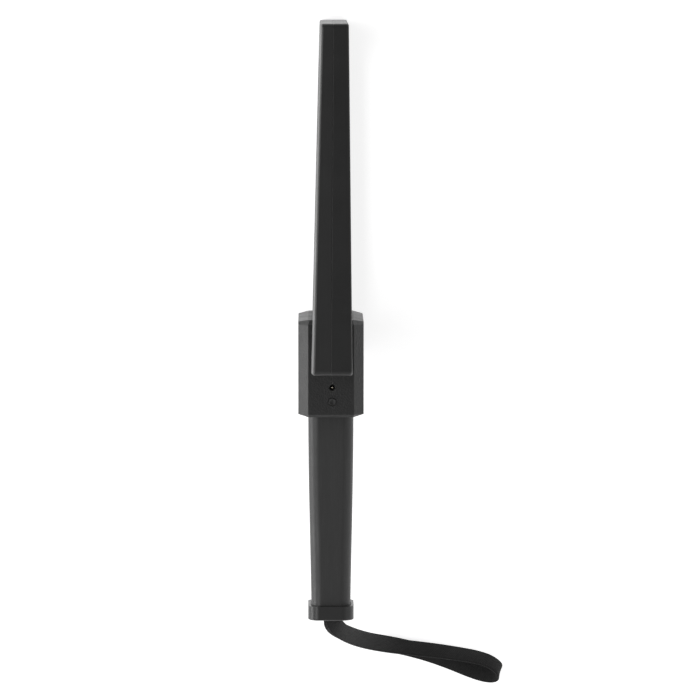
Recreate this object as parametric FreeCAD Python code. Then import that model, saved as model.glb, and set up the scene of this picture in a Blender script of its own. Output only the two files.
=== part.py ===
"""Hand-held loop reader for animal microchips, in millimetres.

The reader stands on the long edge of its antenna loop. +Z is up. The long axis runs along Y, with the tip
of the loop at +Y and the handle at -Y. X is the thickness, with the display and buttons on the -X face.
"""

import FreeCAD, Part
import math
import os

Vector = FreeCAD.Vector
X_AXIS, Y_AXIS, Z_AXIS = Vector(1, 0, 0), Vector(0, 1, 0), Vector(0, 0, 1)

# Overall size
LENGTH = 394.0
TIP_Y = LENGTH / 2
END_Y = -LENGTH / 2
LOOP_WIDTH = 166.0
MID_Z = LOOP_WIDTH / 2

# Antenna loop
LOOP_END_Y = -28.8
LOOP_FRONT_TIP_X, LOOP_FRONT_END_X = -7.2, -12.8
LOOP_REAR_TIP_X, LOOP_REAR_END_X = 11.4, 13.7
LOOP_SEAM_TIP_X, LOOP_SEAM_END_X = 1.4, -0.2
LOOP_BAR = 24.0
LOOP_CORNER_R = 3.0
LOOP_OPENING_R = 9.0
LOOP_EDGE_R = 1.4
LOOP_INNER_EDGE_R = 1.5
LOOP_PITCH, LOOP_PITCH_RUN = 1.25, 10.0
LOOP_WALL = 2.2
SEAM_BEVEL = 0.22
SADDLE = 3.0
SADDLE_Y = (30.0, 85.0, 140.0)
SADDLE_Z = (30.0, 113.0, 141.0)
LEAD_HOLE_R = 3.0

# Coil and its former, as insets from the loop's outline
FORMER_INSET, FORMER_DEPTH = 6.0, 6.5
FORMER_BASE, FORMER_FLANGE = 2.2, 1.5
COIL_WIDTH, COIL_HEIGHT, COIL_CORNER_R = 5.0, 4.0, 10.0
FORMER_X = -2.0

# Electronics housing
HOUSING_HALF_X = 21.35
HOUSING_SIDE_HALF_X = 14.9
HOUSING_HALF_Z = 43.0
HOUSING_FACE_HALF_Z = 36.4
HOUSING_TOP_Y, HOUSING_TOP_EDGE_Y = 3.8, 2.4
HOUSING_END_Y, HOUSING_END_EDGE_Y = -59.7, -58.0
HOUSING_TOP_BEVEL, HOUSING_END_BEVEL = 3.1, 1.8
HOUSING_CORNER_LEAN = 0.9
HOUSING_WALL = 2.5
HOUSING_EDGE_R = 0.7
PARTING_X, PARTING_GROOVE = 0.8, (0.12, 0.15)
FIT = 0.15

# Display and controls
LENS_Y, LENS_HEIGHT, LENS_WIDTH, LENS_THICK = -13.5, 20.0, 52.0, 1.4
LENS_CORNER_R = 2.0
LENS_SINK, LENS_EDGE_R = 0.15, 0.3
WINDOW_MARGIN = 2.5
GASKET, GASKET_WIDTH = 0.6, 2.0
DISPLAY_BOARD_X, DISPLAY_BOARD_HALF_Z = -14.6, 27.5
BOARD_THICK, BOARD_CORNER_R = 1.2, 1.5
SCAN_BUTTON_Y, SCAN_BUTTON_R = -34.2, 7.0
MENU_BUTTON_Y, MENU_BUTTON_R = -46.0, 3.2
BUTTON_GAP = 0.25
BUTTON_SINK = 0.2
BUTTON_FLANGE, BUTTON_LIP = 1.2, 0.6
BUTTON_DISH, BUTTON_DISH_SHARE, BUTTON_EDGE_R = 0.5, 0.74, 0.4
PLUNGER_R, PLUNGER_LENGTH = 1.2, 1.7
SWITCH_SIZE, SWITCH_HEIGHT = 6.0, 2.0
SWITCH_EDGE_R, PLUNGER_GAP = 0.3, 0.25
LIGHT_PIPE_Z, LIGHT_PIPE_R = 101.0, 1.5
LIGHT_PIPE_COLLAR, LIGHT_PIPE_EDGE_R = 1.0, 0.4

# Main board and what it carries
MAIN_BOARD_X, MAIN_BOARD_THICK = 14.6, 1.6
MAIN_BOARD_Y = (-49.4, -1.5)
MAIN_BOARD_HALF_Z = 37.0
BUZZER_R, BUZZER_HEIGHT, BUZZER_HOLE_R = 6.0, 8.0, 1.0
BUZZER_Y, BUZZER_Z = -38.5, 62.0
CAPACITOR = (5.0, 10.0, 13.0)
CAPACITOR_Y, CAPACITOR_Z, CAPACITOR_EDGE_R = -45.0, (75.0, 92.0), 0.8

# Sockets in the upper side wall
JACK_Y, SOCKET_Y = -40.1, -49.4
HOUSING_TOP_Z = MID_Z + HOUSING_HALF_Z
SOCKET_TOP_Z = HOUSING_TOP_Z - HOUSING_WALL - 0.1
JACK_HOLE_R, JACK_BORE_R, JACK_PIN_R = 2.0, 1.8, 0.65
JACK_PIN_SINK, JACK_PIN_TIP_R = 0.4, 0.58
JACK_BODY = 8.6
JACK_DEPTH, JACK_BORE_DEPTH = 12.5, 9.5
PLUG_HEAD_R, PLUG_HEAD_THICK, PLUG_PROUD, PLUG_EDGE_R = 2.4, 2.4, 0.5, 0.4
PLUG_DISH_R, PLUG_DISH = 1.85, 0.75
PLUG_STEM_R, PLUG_STEM_LENGTH = 1.5, 5.0
PLUG_GAP = 0.35
IO_BOARD_Y = (-54.5, -34.5)
CONNECTOR_Y, CONNECTOR_DROP, CONNECTOR_HEIGHT = (-43.5, -36.0), 7.0, 2.5

# Screws
SCREW_R, SCREW_HEAD_R, SCREW_HEAD = 1.5, 2.8, 2.2
SCREW_SINK, SCREW_END_X = 2.35, -17.0
RECESS_DEPTH, RECESS_HALVES = 0.9, (2.0, 0.35)
BOSS_R = 3.2
UPPER_SCREW_Y, UPPER_SCREW_DZ = -9.0, 32.0
LOWER_SCREW_Y, LOWER_SCREW_DZ = -53.3, 23.4
BOARD_SCREW_R, BOARD_SCREW_LENGTH = 1.0, 3.8
BOARD_SCREW_HEAD_R, BOARD_SCREW_HEAD = 1.9, 1.2
BOARD_SCREW_Y, BOARD_SCREW_DZ = (-33.0, -46.0), 32.0
BOARD_POST_R = 2.6

# Handle
HANDLE_STATIONS = ((-50.0, 29.9), (-92.0, 29.4), (-125.0, 28.3), (-160.0, 26.8), (-194.4, 25.7))
HANDLE_DEPTH = 33.0
HANDLE_CORNER_R = 6.8
HANDLE_WALL = 1.9
HANDLE_FLANGE, HANDLE_FLANGE_THICK, HANDLE_FLANGE_LIFT = 2.0, 3.0, 0.85

# Batteries
CELL_R, CELL_LENGTH, CELL_GAP = 7.1, 50.0, 0.5
CELL_NUB_R, CELL_NUB, CELL_EDGE_R = 2.7, 1.2, 0.6
CELL_Z = (MID_Z - 7.15, MID_Z + 7.15)
CELLS_TOP_Y = -66.0
CELLS_END_Y = CELLS_TOP_Y - 2 * CELL_LENGTH - CELL_GAP
TRAY_THICK, TRAY_HALF_WIDTH, TRAY_END_HALF = 1.6, 13.0, 8.0
TRAY_RIDGE, TRAY_RIDGE_HALF = 3.2, 2.2
CONTACT_THICK, CONTACT_HALF = 0.7, 4.0

# End cap
CAP_WIDTH, CAP_DEPTH = 30.1, 37.4
CAP_RIM_Y = -187.6
CAP_FLOOR = 2.3
CAP_CORNER_R, CUP_CORNER_R = 7.6, 7.0
CAP_EDGE_R = 1.0
CAP_WALL = 1.9
SPIGOT_TOP_Y = -179.0
SPIGOT_GAP, SPIGOT_WALL, SPIGOT_CORNER_R = 0.35, 1.5, 4.5
SPIGOT_WIDTH = HANDLE_STATIONS[-1][1] - 2 * (HANDLE_WALL + SPIGOT_GAP)
SPIGOT_DEPTH = HANDLE_DEPTH - 2 * (HANDLE_WALL + SPIGOT_GAP)
SEAL_Y, SEAL_WIDTH, SEAL_SEAT, SEAL_PROUD = -186.0, 2.4, 0.7, 0.15
CONTACT_PLATE_THICK = 1.0
SPRING_R, SPRING_WIRE_R, SPRING_TURNS, SPRING_CLEARANCE = 4.0, 0.45, 5, 0.4

# Wrist strap
STRAP_WIDTH, STRAP_THICK = 11.0, 1.5
STRAP_PIN_R, STRAP_PIN_Y = 1.25, -189.0
STRAP_SLOT = (14.6, 6.4)
# x, y, z of each point, then the tilt of the webbing's width from the horizontal in degrees
STRAP_ROUTE = (
    (1.2, -189.0, 85.05, 0),
    (1.4, -199.8, 85.0, 0),
    (5.8, -206.4, 79.0, 30),
    (11.8, -212.0, 65.0, 46),
    (19.6, -217.4, 48.5, 46),
    (29.8, -222.2, 32.5, 42),
    (42.5, -226.4, 19.0, 38),
    (57.5, -229.0, 12.4, 35),
    (72.5, -231.0, 10.8, 36),
    (86.5, -233.0, 11.2, 40),
    (99.0, -235.0, 11.8, 43),
    (109.0, -238.2, 12.0, 45),
    (115.8, -244.0, 10.4, 34),
    (113.4, -248.6, 7.2, 27),
    (106.0, -248.4, 5.6, 24),
    (95.5, -245.0, 4.7, 18),
    (83.0, -239.8, 3.6, 13),
    (68.5, -234.6, 2.8, 9),
    (54.0, -230.6, 2.2, 5),
    (41.0, -227.4, 4.6, 10),
    (29.2, -223.9, 15.0, 34),
    (19.0, -219.1, 30.5, 42),
    (10.8, -213.6, 47.5, 42),
    (4.2, -208.0, 64.5, 28),
    (0.8, -203.3, 76.8, 0),
    (0.7, -198.8, 80.8, 0),
    (0.7, -189.0, 80.95, 0),
)
# The point at which the strap folds back, and the way its width lies there in plan
STRAP_TURN = 13
STRAP_FOLD = (0.3, 0.95)


def box(x0, x1, y0, y1, z0, z1):
    """A block between two corners."""
    return Part.makeBox(x1 - x0, y1 - y0, z1 - z0, Vector(x0, y0, z0))


def rod(radius, start, axis, length):
    """A cylinder of that length from start along axis."""
    return Part.makeCylinder(radius, length, start, axis)


def fuse(shape, *others):
    """All the shapes as one, without the seams between coplanar faces."""
    for other in others:
        shape = shape.fuse(other)
    return shape.removeSplitter()


def cut(shape, *tools):
    """The shape less all the tools."""
    for tool in tools:
        shape = shape.cut(tool)
    return shape


def solid(shape):
    """The largest solid of a result that may hold slivers."""
    return max(shape.Solids, key=lambda s: s.Volume)


def prism(points, along):
    """A polygon pushed along a vector."""
    wire = Part.makePolygon([*points, points[0]])
    return Part.Face(wire).extrude(along)


def rounded(u0, u1, v0, v1, radius, place):
    """A closed rounded rectangle, with place(u, v) giving its points in space."""
    edges = []
    k = radius * (1 - math.sqrt(0.5))
    corners = (
        ((u0, v0 + radius), (u0 + k, v0 + k), (u0 + radius, v0)),
        ((u1 - radius, v0), (u1 - k, v0 + k), (u1, v0 + radius)),
        ((u1, v1 - radius), (u1 - k, v1 - k), (u1 - radius, v1)),
        ((u0 + radius, v1), (u0 + k, v1 - k), (u0, v1 - radius)),
    )
    for number, (start, middle, end) in enumerate(corners):
        after = corners[(number + 1) % 4][0]
        edges.append(Part.Arc(place(*start), place(*middle), place(*end)).toShape())
        edges.append(Part.LineSegment(place(*end), place(*after)).toShape())
    return Part.Wire(edges)


def plate(x0, x1, y0, y1, z0, z1, radius):
    """A rounded rectangle in the plane of the loop, from x0 to x1."""
    wire = rounded(y0, y1, z0, z1, radius, lambda y, z: Vector(x0, y, z))
    return Part.Face(wire).extrude(X_AXIS * (x1 - x0))


def edges_where(shape, test):
    """The edges whose middle point passes the test."""
    chosen = []
    for edge in shape.Edges:
        middle = edge.valueAt((edge.FirstParameter + edge.LastParameter) / 2)
        if test(middle):
            chosen.append(edge)
    return chosen


# ---------------------------------------------------------------- antenna loop


def between(y, tip_value, end_value):
    """A value that changes evenly from the loop's tip to its lower end."""
    share = (TIP_Y - y) / (TIP_Y - LOOP_END_Y)
    return tip_value + share * (end_value - tip_value)


def front_x(y):
    return between(y, LOOP_FRONT_TIP_X, LOOP_FRONT_END_X)


def rear_x(y):
    return between(y, LOOP_REAR_TIP_X, LOOP_REAR_END_X)


def seam_x(y):
    return between(y, LOOP_SEAM_TIP_X, LOOP_SEAM_END_X)


def wedge(low, high, inset=0.0):
    """The space between two sloping planes, x = low(y) + inset and x = high(y) - inset."""
    top, bottom = TIP_Y + 10, LOOP_END_Y - 10
    points = [
        Vector(low(top) + inset, top, -10),
        Vector(high(top) - inset, top, -10),
        Vector(high(bottom) - inset, bottom, -10),
        Vector(low(bottom) + inset, bottom, -10),
    ]
    return prism(points, Z_AXIS * (LOOP_WIDTH + 20))


def loop_plate(inset, x0=-40.0, x1=40.0):
    """The loop's outline, moved inwards by inset, as a thick plate."""
    radius = max(LOOP_CORNER_R - inset, 1.0)
    return plate(x0, x1, LOOP_END_Y + inset, TIP_Y - inset, inset, LOOP_WIDTH - inset, radius)


def opening_plate(outset, x0=-40.0, x1=40.0):
    """The loop's opening, made larger by outset, as a thick plate."""
    low_y, high_y = LOOP_END_Y + LOOP_BAR - outset, TIP_Y - LOOP_BAR + outset
    low_z, high_z = LOOP_BAR - outset, LOOP_WIDTH - LOOP_BAR + outset
    return plate(x0, x1, low_y, high_y, low_z, high_z, LOOP_OPENING_R + outset)


def pitch_cutter(side):
    """What slopes the outer part of one long bar's front face back towards the loop's edge."""
    beyond = 6.0
    inner = MID_Z + side * (MID_Z - LOOP_PITCH_RUN)
    outer = MID_Z + side * (MID_Z + beyond)
    drop = LOOP_PITCH * (LOOP_PITCH_RUN + beyond) / LOOP_PITCH_RUN
    wires = []
    for y in (TIP_Y + 10, LOOP_END_Y - 10):
        x = front_x(y)
        points = [Vector(x, y, inner), Vector(x + drop, y, outer)]
        points += [Vector(x - 5, y, outer), Vector(x - 5, y, inner)]
        wires.append(Part.makePolygon([*points, points[0]]))
    return Part.makeLoft(wires, True, True)


def on_outline(p):
    """Whether a point is on the loop's outer outline."""
    return (
        abs(p.z) < 0.01
        or abs(p.z - LOOP_WIDTH) < 0.01
        or abs(p.y - TIP_Y) < 0.01
        or abs(p.y - LOOP_END_Y) < 0.01
        or not (LOOP_CORNER_R < p.z < LOOP_WIDTH - LOOP_CORNER_R)
    )


def seam_bevelled(shell):
    """A shell with a small bevel along its seam, on the loop's outer outline."""
    rim = edges_where(shell, lambda p: on_outline(p) and abs(p.x - seam_x(p.y)) < 0.01)
    return solid(shell.makeChamfer(SEAM_BEVEL, rim))


def loop_outer():
    """The loop's outside, solid, with its edges rounded."""
    body = loop_plate(0.0).common(wedge(front_x, rear_x))
    body = cut(body, pitch_cutter(1), pitch_cutter(-1), opening_plate(0.0))
    body = solid(body.removeSplitter())

    def on_outer_rim(p):
        return on_outline(p) and not (rear_x(p.y) - 2 > p.x > front_x(p.y) + 4)

    return solid(body.makeFillet(LOOP_EDGE_R, edges_where(body, on_outer_rim)))


def loop_shells():
    """The front and rear shells of the antenna loop."""
    outer = loop_outer()
    cavity = loop_plate(LOOP_WALL).common(wedge(front_x, rear_x, LOOP_WALL + LOOP_PITCH / 2))
    cavity = cut(cavity, opening_plate(LOOP_WALL))
    shell = cut(outer, cavity)
    lead_hole = rod(LEAD_HOLE_R, Vector(0, LOOP_END_Y - 1, MID_Z), Y_AXIS, LOOP_WALL + 2)
    shell = cut(shell, lead_hole)
    saddles = saddle_ribs().common(cavity)
    front_half = wedge(lambda y: -60.0, seam_x)
    rear_half = wedge(seam_x, lambda y: 60.0)
    before_former = box(-30, FORMER_X, -60, 220, -5, 175)
    behind_former = box(FORMER_X + COIL_WIDTH + 2 * FORMER_FLANGE, 30, -60, 220, -5, 175)
    front = fuse(shell.common(front_half), saddles.common(before_former))
    rear = fuse(shell.common(rear_half), saddles.common(behind_former))
    for z in upper_screw_z():
        tube = rod(BOSS_R, Vector(-20, UPPER_SCREW_Y, z), X_AXIS, 40).common(cavity)
        passage = rod(SCREW_R + FIT, Vector(-30, UPPER_SCREW_Y, z), X_AXIS, 60)
        front = fuse(front, tube.common(front_half)).cut(passage)
        rear = fuse(rear, tube.common(rear_half)).cut(passage)
    return seam_bevelled(solid(front)), seam_bevelled(solid(rear))


def saddle_ribs():
    """Ribs across the loop's channel, which hold the coil former between the two shells."""
    ribs = []
    for y in SADDLE_Y:
        ribs.append(box(-30, 30, y - SADDLE / 2, y + SADDLE / 2, -1, LOOP_WIDTH + 1))
    for z in SADDLE_Z:
        ribs.append(box(-30, 30, LOOP_END_Y - 1, TIP_Y + 1, z - SADDLE / 2, z + SADDLE / 2))
    return ribs[0].multiFuse(ribs[1:])


def ring(inset, depth, x0, x1):
    """A flat ring that follows the loop's outline, inset from it and depth wide."""

    def inner_plate(inside, start, end, radius):
        return plate(start, end, LOOP_END_Y + inside, TIP_Y - inside, inside, LOOP_WIDTH - inside, radius)

    outer = inner_plate(inset, x0, x1, COIL_CORNER_R)
    return outer.cut(inner_plate(inset + depth, x0 - 1, x1 + 1, COIL_CORNER_R - depth / 2))


def coil_and_former():
    """The winding, and the flanged ring that it is wound on."""
    x0 = FORMER_X
    x1 = x0 + COIL_WIDTH + 2 * FORMER_FLANGE
    former = fuse(
        ring(FORMER_INSET + FORMER_DEPTH - FORMER_BASE, FORMER_BASE, x0, x1),
        ring(FORMER_INSET, FORMER_DEPTH, x0, x0 + FORMER_FLANGE),
        ring(FORMER_INSET, FORMER_DEPTH, x1 - FORMER_FLANGE, x1),
    )
    coil_inset = FORMER_INSET + FORMER_DEPTH - FORMER_BASE - COIL_HEIGHT
    coil = ring(coil_inset, COIL_HEIGHT, x0 + FORMER_FLANGE, x1 - FORMER_FLANGE)
    return solid(former), solid(coil.cut(former))


# ---------------------------------------------------------------- housing


def housing_planes():
    """A point on each outside face of the housing, with the face's outward normal."""
    planes = []
    corner_x = (HOUSING_HALF_X + HOUSING_SIDE_HALF_X) / 2
    corner_z = (HOUSING_HALF_Z + HOUSING_FACE_HALF_Z) / 2
    run_x, run_z = HOUSING_HALF_X - HOUSING_SIDE_HALF_X, HOUSING_HALF_Z - HOUSING_FACE_HALF_Z
    for side in (-1, 1):
        planes.append((Vector(side * HOUSING_HALF_X, 0, MID_Z), Vector(side, 0, 0)))
        planes.append((Vector(0, 0, MID_Z + side * HOUSING_HALF_Z), Vector(0, 0, side)))
        for up in (-1, 1):
            place = Vector(side * corner_x, 0, MID_Z + up * corner_z)
            planes.append((place, Vector(side * run_z, 0, up * run_x)))
    ends = (
        (1, HOUSING_TOP_Y, HOUSING_TOP_EDGE_Y, HOUSING_TOP_BEVEL),
        (-1, HOUSING_END_Y, HOUSING_END_EDGE_Y, HOUSING_END_BEVEL),
    )
    for way, y, edge_y, bevel in ends:
        planes.append((Vector(0, y, MID_Z), Vector(0, way, 0)))
        for side in (-1, 1):
            rise = abs(y - edge_y)
            edge = Vector(side * HOUSING_SIDE_HALF_X, y, MID_Z)
            planes.append((edge, Vector(side * rise, way * run_x, 0)))
            planes.append((Vector(0, y - way * bevel, MID_Z + side * HOUSING_HALF_Z), Vector(0, way, side)))
            for up in (-1, 1):
                slope = Vector(side * run_z, 0, up * run_x).normalize()
                place = Vector(side * HOUSING_SIDE_HALF_X, y - way * bevel, MID_Z + up * HOUSING_HALF_Z)
                planes.append((place, slope + Vector(0, way * HOUSING_CORNER_LEAN, 0)))
    return planes


def convex(planes, inset):
    """The solid inside all the planes, each moved inwards by inset."""
    big = 400.0
    body = box(-60, 60, -100, 60, -20, 200)
    for point, normal in planes:
        direction = Vector(normal).normalize()
        base = point - direction * inset
        tool = Part.makeBox(big, big, big, Vector(-big / 2, -big / 2, 0))
        turn = FreeCAD.Rotation(Z_AXIS, direction)
        tool.Placement = FreeCAD.Placement(base, turn).multiply(tool.Placement)
        body = body.cut(tool)
    return solid(body)


def long_edges(shape):
    """The edges that run along the reader."""
    chosen = []
    for edge in shape.Edges:
        run = edge.lastVertex().Point - edge.firstVertex().Point
        if abs(run.y) > 0.95 * run.Length:
            chosen.append(edge)
    return chosen


def lower_screw_z():
    return (MID_Z - LOWER_SCREW_DZ, MID_Z + LOWER_SCREW_DZ)


def upper_screw_z():
    return (MID_Z - UPPER_SCREW_DZ, MID_Z + UPPER_SCREW_DZ)


def screw_places():
    """y and z of the four housing screws."""
    upper = [(UPPER_SCREW_Y, z) for z in upper_screw_z()]
    return upper + [(LOWER_SCREW_Y, z) for z in lower_screw_z()]


def board_screw_places():
    """y and z of the main board's screws."""
    return [(y, MID_Z + dz) for y in BOARD_SCREW_Y for dz in (-BOARD_SCREW_DZ, BOARD_SCREW_DZ)]


def loop_passage(gap):
    """The space that the loop's lower bar takes through the housing, with a gap all round."""
    bar = box(-40, 40, LOOP_END_Y - gap, LOOP_END_Y + LOOP_BAR + gap, -10, LOOP_WIDTH + 10)
    return bar.common(wedge(front_x, rear_x, -gap))


def lens_plate(margin, x0, x1):
    """The display window's outline, less margin all round, from x0 to x1."""
    half_y, half_z = LENS_HEIGHT / 2 - margin, LENS_WIDTH / 2 - margin
    radius = max(LENS_CORNER_R - margin / 2, 0.6)
    return plate(x0, x1, LENS_Y - half_y, LENS_Y + half_y, MID_Z - half_z, MID_Z + half_z, radius)


def front_cover_cuts():
    """The openings of the front cover: display window, buttons and light pipe."""
    face = -HOUSING_HALF_X
    tools = [
        lens_plate(-FIT, face - 1, face + LENS_THICK + LENS_SINK),
        lens_plate(WINDOW_MARGIN, face - 1, face + 10),
        rod(LIGHT_PIPE_R + 0.1, Vector(face - 1, SCAN_BUTTON_Y, LIGHT_PIPE_Z), X_AXIS, 6),
    ]
    for y, radius in buttons():
        tools.append(rod(radius + BUTTON_GAP, Vector(face - 1, y, MID_Z), X_AXIS, 6))
    return tools


def buttons():
    """y and radius of each button."""
    return ((SCAN_BUTTON_Y, SCAN_BUTTON_R), (MENU_BUTTON_Y, MENU_BUTTON_R))


def across_housing(x0, x1):
    """The whole of the housing's room between two values of x."""
    return box(x0, x1, HOUSING_END_Y - 20, HOUSING_TOP_Y + 20, 0, LOOP_WIDTH)


def housing_covers():
    """The front and rear covers of the electronics housing."""
    planes = housing_planes()
    outer = convex(planes, 0.0)
    outer = solid(outer.makeFillet(HOUSING_EDGE_R, long_edges(outer)))
    shell = outer.cut(convex(planes, HOUSING_WALL))
    inside = convex(planes, HOUSING_WALL - 0.1)
    groove_width, groove_depth = PARTING_GROOVE
    groove = convex(planes, -1.0).cut(convex(planes, groove_depth))
    groove = groove.common(across_housing(PARTING_X - groove_width / 2, PARTING_X + groove_width / 2))
    jack_holes = (
        rod(JACK_HOLE_R, Vector(PARTING_X, JACK_Y, MID_Z + 30), Z_AXIS, 20),
        rod(PLUG_HEAD_R + PLUG_GAP, Vector(PARTING_X, SOCKET_Y, MID_Z + 30), Z_AXIS, 20),
    )
    shell = cut(shell, groove, loop_passage(FIT), handle_outer(FIT), *jack_holes)
    front_half, rear_half = across_housing(-40, PARTING_X), across_housing(PARTING_X, 40)
    front = shell.common(front_half)
    rear = shell.common(rear_half)
    for y, z in screw_places():
        boss = rod(BOSS_R, Vector(-40, y, z), X_AXIS, 80).common(inside)
        boss = boss.cut(loop_passage(FIT))
        front = fuse(front, boss.common(front_half))
        rear = fuse(rear, boss.common(rear_half))
    for y, z in board_screw_places():
        post = rod(BOARD_POST_R, Vector(MAIN_BOARD_X + MAIN_BOARD_THICK, y, z), X_AXIS, 10).common(inside)
        pilot = rod(BOARD_SCREW_R, Vector(MAIN_BOARD_X, y, z), X_AXIS, BOARD_SCREW_LENGTH + 0.2)
        rear = fuse(rear, post).cut(pilot)
    for y, z in screw_places():
        start = Vector(SCREW_END_X - 0.5, y, z)
        front = front.cut(rod(SCREW_R, start, X_AXIS, 60))
        sink = rod(SCREW_HEAD_R + FIT, Vector(HOUSING_HALF_X - SCREW_SINK, y, z), X_AXIS, 10)
        rear = cut(rear, rod(SCREW_R + FIT, start, X_AXIS, 60), sink)
    front = cut(front, *front_cover_cuts())
    return solid(front), solid(rear)


def housing_screws():
    """The four screws that clamp the covers and the loop together."""
    screws = []
    for y, z in screw_places():
        seat = HOUSING_HALF_X - SCREW_SINK
        head = rod(SCREW_HEAD_R, Vector(seat, y, z), X_AXIS, SCREW_HEAD)
        shank = rod(SCREW_R, Vector(SCREW_END_X, y, z), X_AXIS, seat - SCREW_END_X)
        screw = fuse(head, shank)
        recess_x = seat + SCREW_HEAD - RECESS_DEPTH
        for half_y, half_z in (RECESS_HALVES, RECESS_HALVES[::-1]):
            screw = screw.cut(box(recess_x, recess_x + 3, y - half_y, y + half_y, z - half_z, z + half_z))
        screws.append(solid(screw))
    return Part.makeCompound(screws)


# ---------------------------------------------------------------- display and controls


def display_parts():
    """The lens, gasket, LCD module, display board and light pipe."""
    face = -HOUSING_HALF_X
    lens_x = face + LENS_SINK
    lens = lens_plate(0.0, lens_x, lens_x + LENS_THICK)
    lens = lens.makeFillet(LENS_EDGE_R, edges_where(lens, lambda p: abs(p.x - lens_x) < 0.01))
    inner_x = face + HOUSING_WALL
    board_x = DISPLAY_BOARD_X
    gasket = lens_plate(WINDOW_MARGIN - GASKET_WIDTH, inner_x, inner_x + GASKET)
    gasket = gasket.cut(lens_plate(WINDOW_MARGIN, inner_x - 1, inner_x + 2))
    lcd = lens_plate(WINDOW_MARGIN - GASKET_WIDTH, inner_x + GASKET, board_x)
    low_z, high_z = MID_Z - DISPLAY_BOARD_HALF_Z, MID_Z + DISPLAY_BOARD_HALF_Z
    board = plate(board_x, board_x + BOARD_THICK, *MAIN_BOARD_Y, low_z, high_z, BOARD_CORNER_R)
    pipe = rod(LIGHT_PIPE_R, Vector(face, SCAN_BUTTON_Y, LIGHT_PIPE_Z), X_AXIS, board_x - face)
    collar_start = Vector(inner_x, SCAN_BUTTON_Y, LIGHT_PIPE_Z)
    pipe = fuse(pipe, rod(LIGHT_PIPE_R + LIGHT_PIPE_COLLAR, collar_start, X_AXIS, LIGHT_PIPE_COLLAR))
    pipe = pipe.makeFillet(LIGHT_PIPE_EDGE_R, edges_where(pipe, lambda p: abs(p.x - face) < 0.01))
    return {
        "display_lens": lens,
        "display_gasket": gasket,
        "lcd_module": lcd,
        "display_board": board,
        "status_light_pipe": pipe,
    }


def button_parts(name, y, radius):
    """A push button with its plunger, and the switch case that the plunger enters."""
    face = -HOUSING_HALF_X
    inner_x = face + HOUSING_WALL
    flange_x = inner_x + BUTTON_GAP
    top_x = face + BUTTON_SINK
    cap = rod(radius, Vector(top_x, y, MID_Z), X_AXIS, flange_x - top_x)
    dish_r = (BUTTON_DISH_SHARE * radius) ** 2 / (2 * BUTTON_DISH) + BUTTON_DISH / 2
    cap = cap.cut(Part.makeSphere(dish_r, Vector(top_x + BUTTON_DISH - dish_r, y, MID_Z)))

    def on_rim(p):
        return abs(p.x - top_x) < 0.01 and abs(math.hypot(p.y - y, p.z - MID_Z) - radius) < 0.05

    cap = cap.makeFillet(BUTTON_EDGE_R, edges_where(cap, on_rim))
    cap = fuse(cap, rod(radius + BUTTON_LIP, Vector(flange_x, y, MID_Z), X_AXIS, BUTTON_FLANGE))
    plunger = rod(PLUNGER_R, Vector(flange_x + BUTTON_FLANGE, y, MID_Z), X_AXIS, PLUNGER_LENGTH)
    half = SWITCH_SIZE / 2
    board_x = DISPLAY_BOARD_X
    case = box(board_x - SWITCH_HEIGHT, board_x, y - half, y + half, MID_Z - half, MID_Z + half)
    case = case.makeFillet(SWITCH_EDGE_R, edges_where(case, lambda p: p.x < board_x - 0.1))
    bore = rod(PLUNGER_R + PLUNGER_GAP, Vector(board_x - 10, y, MID_Z), X_AXIS, 20)
    return {name + "_button": cap, name + "_plunger": plunger, name + "_switch": case.cut(bore)}


# ---------------------------------------------------------------- boards and sockets


def board_parts():
    """The main board with its buzzer, capacitors and screws."""
    x = MAIN_BOARD_X
    low_z, high_z = MID_Z - MAIN_BOARD_HALF_Z, MID_Z + MAIN_BOARD_HALF_Z
    board = plate(x, x + MAIN_BOARD_THICK, *MAIN_BOARD_Y, low_z, high_z, BOARD_CORNER_R)
    for y, z in screw_places():
        board = board.cut(rod(BOSS_R + 0.4, Vector(x - 1, y, z), X_AXIS, 5))
    screws = []
    for y, z in board_screw_places():
        board = board.cut(rod(BOARD_SCREW_R, Vector(x - 1, y, z), X_AXIS, 5))
        head = rod(BOARD_SCREW_HEAD_R, Vector(x - BOARD_SCREW_HEAD, y, z), X_AXIS, BOARD_SCREW_HEAD)
        shank = rod(BOARD_SCREW_R, Vector(x, y, z), X_AXIS, BOARD_SCREW_LENGTH)
        screws.append(solid(fuse(head, shank)))
    buzzer = rod(BUZZER_R, Vector(x - BUZZER_HEIGHT, BUZZER_Y, BUZZER_Z), X_AXIS, BUZZER_HEIGHT)
    buzzer = buzzer.cut(rod(BUZZER_HOLE_R, Vector(x - BUZZER_HEIGHT - 1, BUZZER_Y, BUZZER_Z), X_AXIS, 2))
    depth, height, width = CAPACITOR
    capacitors = []
    for z in CAPACITOR_Z:
        body = box(x - depth, x, CAPACITOR_Y, CAPACITOR_Y + height, z - width / 2, z + width / 2)
        capacitors.append(body.makeFillet(CAPACITOR_EDGE_R, edges_where(body, lambda p: p.x < x - depth / 2)))
    return {
        "main_board": solid(board),
        "board_screws": Part.makeCompound(screws),
        "buzzer": buzzer,
        "tuning_capacitors": Part.makeCompound(capacitors),
    }


def socket_body(y, bore_r):
    """The block of a socket behind the upper side wall, with its bore."""
    x, half = PARTING_X, JACK_BODY / 2
    body = box(x - half, x + half, y - half, y + half, SOCKET_TOP_Z - JACK_DEPTH, SOCKET_TOP_Z)
    return body.cut(rod(bore_r, Vector(x, y, SOCKET_TOP_Z - JACK_BORE_DEPTH), Z_AXIS, JACK_DEPTH))


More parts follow.
